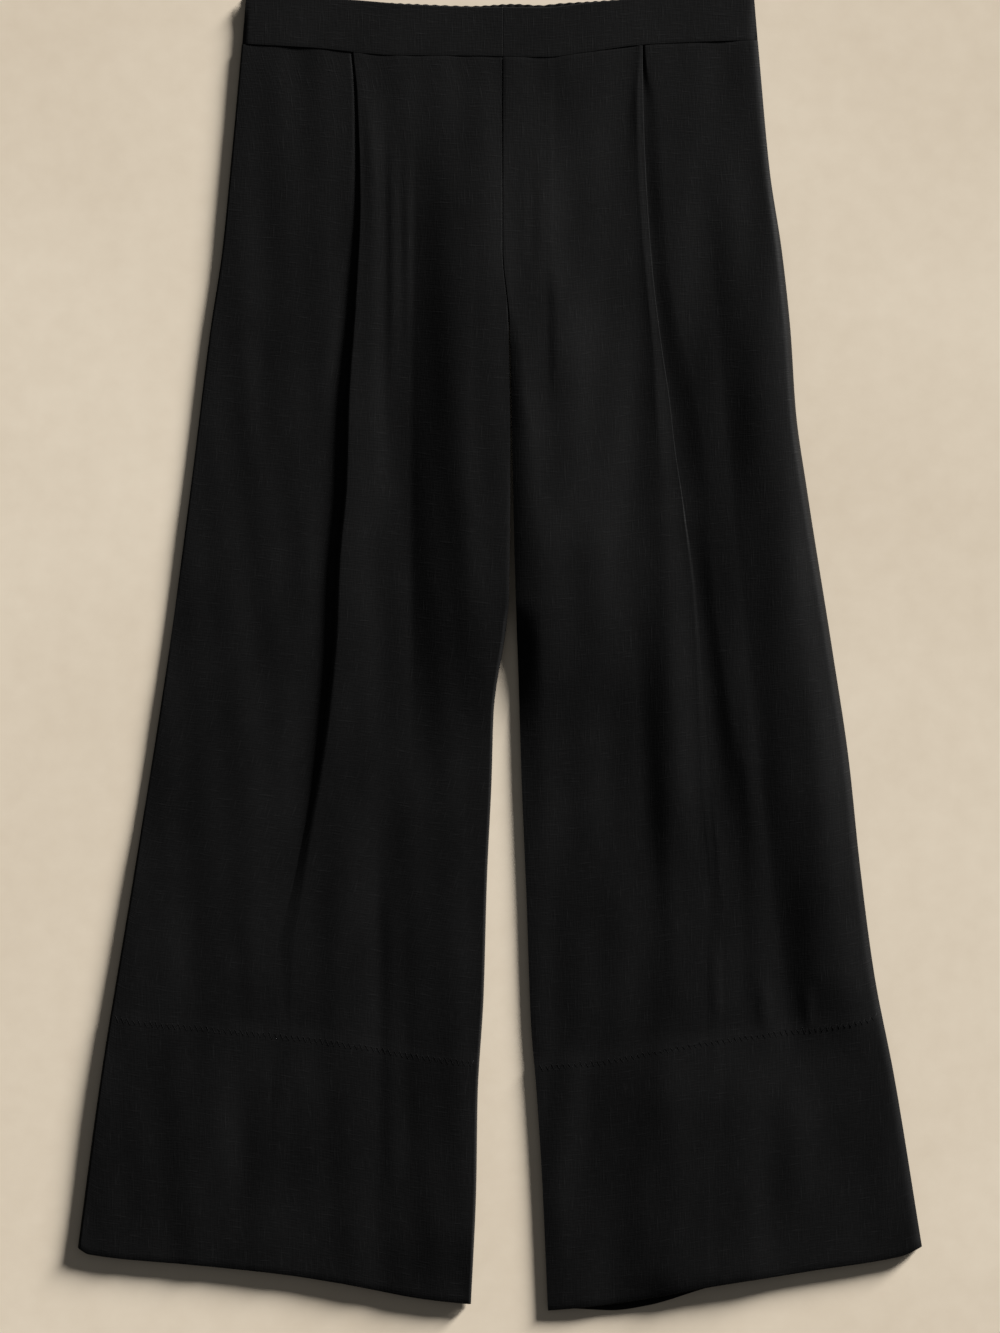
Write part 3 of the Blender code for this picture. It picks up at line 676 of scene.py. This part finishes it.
def catch_stitches(name, leg, material):
    """The row of catch stitches that holds the turned-up hem: a zigzag across the leg that
    follows the cloth's height."""
    place = TURN_UP_TOP + 0.004
    w, y, z = (row[0] for row in front_rows(leg, [place]))
    order = np.argsort(w)
    inner, outer = leg.ends(place)
    count = int((outer - inner - 8.0) / 2.1)
    at = np.linspace(float(inner) + 4.0, float(outer) - 4.0, count)
    draw = np.random.default_rng(5 + leg.side)
    zig = np.where(np.arange(count) % 2 == 0, 2.2, -2.2) + draw.uniform(-0.5, 0.5, count)
    height = np.interp(at, w[order], z[order]) + CLOTH / 2 - 0.02
    path = np.stack([leg.side * at, np.interp(at, w[order], y[order]) + zig, height], axis=1)
    return thread(name, path, 0.15, material)


# ---- materials ----

def nodes_of(name):
    material = bpy.data.materials.new(name)
    material.use_nodes = True
    tree = material.node_tree
    return material, tree.nodes, tree.links, tree.nodes["Principled BSDF"]


def streaks(nodes, links, source, scale, detail=2.0):
    """Noise stretched along one direction of the cloth."""
    mapping = nodes.new("ShaderNodeMapping")
    mapping.inputs["Scale"].default_value = scale
    links.new(source, mapping.inputs["Vector"])
    noise = nodes.new("ShaderNodeTexNoise")
    noise.inputs["Scale"].default_value = 1.0
    noise.inputs["Detail"].default_value = detail
    noise.inputs["Roughness"].default_value = 0.55
    links.new(mapping.outputs["Vector"], noise.inputs["Vector"])
    return noise.outputs["Fac"]


def spread(nodes, links, value, low, high, out_low, out_high):
    """A value's range low..high moved to out_low..out_high."""
    remap = nodes.new("ShaderNodeMapRange")
    remap.inputs["From Min"].default_value = low
    remap.inputs["From Max"].default_value = high
    remap.inputs["To Min"].default_value = out_low
    remap.inputs["To Max"].default_value = out_high
    links.new(value, remap.inputs["Value"])
    return remap.outputs["Result"]


def maths(nodes, links, how, a, b):
    node = nodes.new("ShaderNodeMath")
    node.operation = how
    for socket, value in zip(node.inputs, (a, b)):
        if isinstance(value, float):
            socket.default_value = value
        else:
            links.new(value, socket)
    return node.outputs["Value"]


def weave_material(name, dark, light):
    """Matt plain weave with slubs: warp and weft yarns that vary along their own length, over
    a broad unevenness of the dye."""
    material, nodes, links, shader = nodes_of(name)
    place = nodes.new("ShaderNodeTexCoord").outputs["UV"]
    warp = streaks(nodes, links, place, (900.0, 90.0, 1.0))
    weft = streaks(nodes, links, place, (110.0, 900.0, 1.0))
    slub_warp = spread(nodes, links, streaks(nodes, links, place, (520.0, 60.0, 1.0), 1.0),
                       0.60, 0.78, 0.0, 1.0)
    slub_weft = spread(nodes, links, streaks(nodes, links, place, (70.0, 520.0, 1.0), 1.0),
                       0.60, 0.78, 0.0, 1.0)
    broad = streaks(nodes, links, place, (16.0, 10.0, 1.0), 3.0)
    yarns = maths(nodes, links, "ADD", spread(nodes, links, warp, 0.25, 0.75, 0.0, 0.5),
                  spread(nodes, links, weft, 0.25, 0.75, 0.0, 0.5))
    slubs = maths(nodes, links, "MAXIMUM", slub_warp, slub_weft)
    tone = maths(nodes, links, "ADD", maths(nodes, links, "MULTIPLY", yarns, 0.75),
                 maths(nodes, links, "MULTIPLY", slubs, 0.36))
    tone = maths(nodes, links, "ADD", tone, spread(nodes, links, broad, 0.3, 0.7, -0.2, 0.2))
    ramp = nodes.new("ShaderNodeValToRGB")
    ramp.color_ramp.elements[0].color = (*dark, 1.0)
    ramp.color_ramp.elements[1].color = (*light, 1.0)
    links.new(tone, ramp.inputs["Fac"])
    links.new(ramp.outputs["Color"], shader.inputs["Base Color"])
    rough = spread(nodes, links, yarns, 0.2, 0.8, 0.64, 0.54)
    links.new(rough, shader.inputs["Roughness"])
    shader.inputs["Specular IOR Level"].default_value = 0.085
    shader.inputs["Sheen Weight"].default_value = 0.01
    shader.inputs["Sheen Roughness"].default_value = 0.45

    threads = nodes.new("ShaderNodeTexWave")
    threads.wave_type = "BANDS"
    threads.bands_direction = "X"
    threads.inputs["Scale"].default_value = 300.0
    threads.inputs["Distortion"].default_value = 1.2
    threads.inputs["Detail Scale"].default_value = 0.6
    links.new(place, threads.inputs["Vector"])
    cross = nodes.new("ShaderNodeTexWave")
    cross.wave_type = "BANDS"
    cross.bands_direction = "Y"
    cross.inputs["Scale"].default_value = 300.0
    cross.inputs["Distortion"].default_value = 1.2
    cross.inputs["Detail Scale"].default_value = 0.6
    links.new(place, cross.inputs["Vector"])
    weave = maths(nodes, links, "MAXIMUM", threads.outputs["Fac"], cross.outputs["Fac"])
    relief = maths(nodes, links, "ADD", maths(nodes, links, "MULTIPLY", weave, 0.2), tone)
    bump = nodes.new("ShaderNodeBump")
    bump.inputs["Strength"].default_value = 0.5
    bump.inputs["Distance"].default_value = 0.00025
    links.new(relief, bump.inputs["Height"])
    links.new(bump.outputs["Normal"], shader.inputs["Normal"])
    return material


def thread_material():
    """Black sewing thread, a little smoother than the cloth, with a fine mottle in its colour."""
    material, nodes, links, shader = nodes_of("thread")
    place = nodes.new("ShaderNodeTexCoord").outputs["Object"]
    noise = streaks(nodes, links, place, (1500.0, 1500.0, 1500.0))
    ramp = nodes.new("ShaderNodeValToRGB")
    ramp.color_ramp.elements[0].color = (0.004, 0.004, 0.004, 1.0)
    ramp.color_ramp.elements[1].color = (0.014, 0.014, 0.0144, 1.0)
    links.new(noise, ramp.inputs["Fac"])
    links.new(ramp.outputs["Color"], shader.inputs["Base Color"])
    shader.inputs["Roughness"].default_value = 0.6
    shader.inputs["Specular IOR Level"].default_value = 0.08
    return material


def floor_material():
    """Pale beige plaster with a faint mottle."""
    material, nodes, links, shader = nodes_of("plaster")
    place = nodes.new("ShaderNodeTexCoord").outputs["Object"]
    clouds = streaks(nodes, links, place, (3.0, 3.0, 3.0), 6.0)
    grains = streaks(nodes, links, place, (60.0, 60.0, 60.0), 4.0)
    tone = maths(nodes, links, "ADD", maths(nodes, links, "MULTIPLY", clouds, 0.75),
                 maths(nodes, links, "MULTIPLY", grains, 0.25))
    ramp = nodes.new("ShaderNodeValToRGB")
    ramp.color_ramp.elements[0].position = 0.3
    ramp.color_ramp.elements[0].color = (0.60, 0.512, 0.40, 1.0)
    ramp.color_ramp.elements[1].position = 0.7
    ramp.color_ramp.elements[1].color = (0.70, 0.615, 0.497, 1.0)
    links.new(tone, ramp.inputs["Fac"])
    links.new(ramp.outputs["Color"], shader.inputs["Base Color"])
    shader.inputs["Roughness"].default_value = 0.9
    shader.inputs["Specular IOR Level"].default_value = 0.15
    return material


# ---- pieces ----

cloth_black = weave_material("black_linen", (0.0008, 0.0008, 0.0009), (0.0058, 0.0058, 0.0060))
# The waistband is the same linen painted lighter: painted light that stands for the brighter light on the
# top of the garment.
band_black_painted_lighter = weave_material("black_linen_band_painted_lighter", (0.0011, 0.0011, 0.0012), (0.0068, 0.0068, 0.0070))
thread_black = thread_material()

side = SIDE_LEFT[-1][1]
side_at_top = 190.0
centre = INNER_LEFT[-1][1]
lap_end = centre + UNDERLAP
dip = (side + 2.2 + np.linspace(-1.2, 1.2, 13)) / (side + lap_end)  # where the lap starts
right_band_places = np.unique(np.concatenate([np.linspace(0, 1, 100), dip]))

pieces = {
    "front_right_cloth": cloth("front_right_cloth", front_grid(RIGHT), cloth_black, flip=True),
    "front_left_cloth": cloth("front_left_cloth", front_grid(LEFT), cloth_black),
    "back_right_cloth": cloth("back_right_cloth", back_grid(BACK_RIGHT), cloth_black),
    "back_left_cloth": cloth("back_left_cloth", back_grid(BACK_LEFT), cloth_black, flip=True),
    "fly_facing_cloth": cloth("fly_facing_cloth", facing_grid(), cloth_black, 0.4),
    "waistband_right_cloth": cloth(
        "waistband_right_cloth",
        band_grid(BAND_TOP, (-side, lap_end), (-side_at_top, lap_end), right_band_places,
                  front_band_level, right_band_gap), band_black_painted_lighter, BAND_CLOTH, flip=True),
    "waistband_left_cloth": cloth(
        "waistband_left_cloth",
        band_grid(BAND_TOP, (centre, side), (centre, side_at_top), np.linspace(0, 1, 100),
                  lapped_band_level, front_band_gap), band_black_painted_lighter, BAND_CLOTH, flip=True),
    "waistband_back_cloth": cloth(
        "waistband_back_cloth",
        band_grid(BAND_BACK_TOP, (-side, side), (-side_at_top, side_at_top),
                  np.linspace(0, 1, 420), back_band_level, back_band_gap, GATHER),
        band_black_painted_lighter, BAND_CLOTH),
}
hem_stitches = {
    "hem_stitches_right": catch_stitches("hem_stitches_right", RIGHT, thread_black),
    "hem_stitches_left": catch_stitches("hem_stitches_left", LEFT, thread_black),
}

# Columns: piece, node, slot, cut width, cut length, cut area, what it lies on
CUTS = [
    ("front_right_cloth", "front_right", "cloth", 0.36, 1.12, 0.310, ["back_right"]),
    ("front_left_cloth", "front_left", "cloth", 0.34, 1.12, 0.290, ["back_left"]),
    ("back_right_cloth", "back_right", "cloth", 0.31, 1.12, 0.282, ["floor"]),
    ("back_left_cloth", "back_left", "cloth", 0.31, 1.12, 0.272, ["floor"]),
    ("fly_facing_cloth", "fly_facing", "cloth", 0.036, 0.19, 0.0060, ["front_right"]),
    ("waistband_right_cloth", "waistband_front_right", "waistband", 0.228, 0.078, None,
     ["waistband_back"]),
    ("waistband_left_cloth", "waistband_front_left", "waistband", 0.192, 0.078, None,
     ["waistband_back"]),
    ("waistband_back_cloth", "waistband_back", "waistband", 0.390, 0.078, None, ["floor"]),
]
for name, node, slot, width, length, area, under in CUTS:
    piece = pieces[name]
    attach(piece, "root")
    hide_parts(node)
for piece in hem_stitches.values():
    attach(piece, "root")

# ---- floor, light and camera ----

floor_mesh = bpy.data.meshes.new("floor")
reach = 5.0
floor_mesh.from_pydata([(-reach, -reach, 0), (reach, -reach, 0), (reach, reach, 0),
                        (-reach, reach, 0)], [], [(0, 1, 2, 3)])
floor_mesh.materials.append(floor_material())
floor = bpy.data.objects.new("floor", floor_mesh)
floor.location.z = (FLOOR - 0.05) * MM
bpy.context.scene.collection.objects.link(floor)

sun = bpy.data.lights.new("key", "SUN")
sun.energy = 14.2
sun.angle = math.radians(13.0)  # a wide soft source
sun.color = (1.0, 0.985, 0.96)
key = bpy.data.objects.new("key", sun)
lean = math.radians(78.0)  # low, so that folds cast long soft shadows
heading = math.radians(45.0)
key.rotation_euler = (0.0, lean, heading)
bpy.context.scene.collection.objects.link(key)

world = bpy.data.worlds.new("studio")
world.use_nodes = True
bpy.context.scene.world = world
backdrop = world.node_tree.nodes["Background"]
backdrop.inputs["Color"].default_value = (0.97, 0.985, 1.0, 1.0)
backdrop.inputs["Strength"].default_value = 0.09

camera_data = bpy.data.cameras.new("camera")
camera_data.sensor_fit = "VERTICAL"
camera_data.sensor_height = 36.0
view_height = 1.0  # metres of floor that the picture is tall
distance = 2.5
camera_data.lens = 36.0 * distance / view_height
camera = bpy.data.objects.new("camera", camera_data)
camera.location = (0.0, -0.01125, distance)
bpy.context.scene.collection.objects.link(camera)
bpy.context.scene.camera = camera
bpy.context.scene.view_settings.view_transform = "Standard"
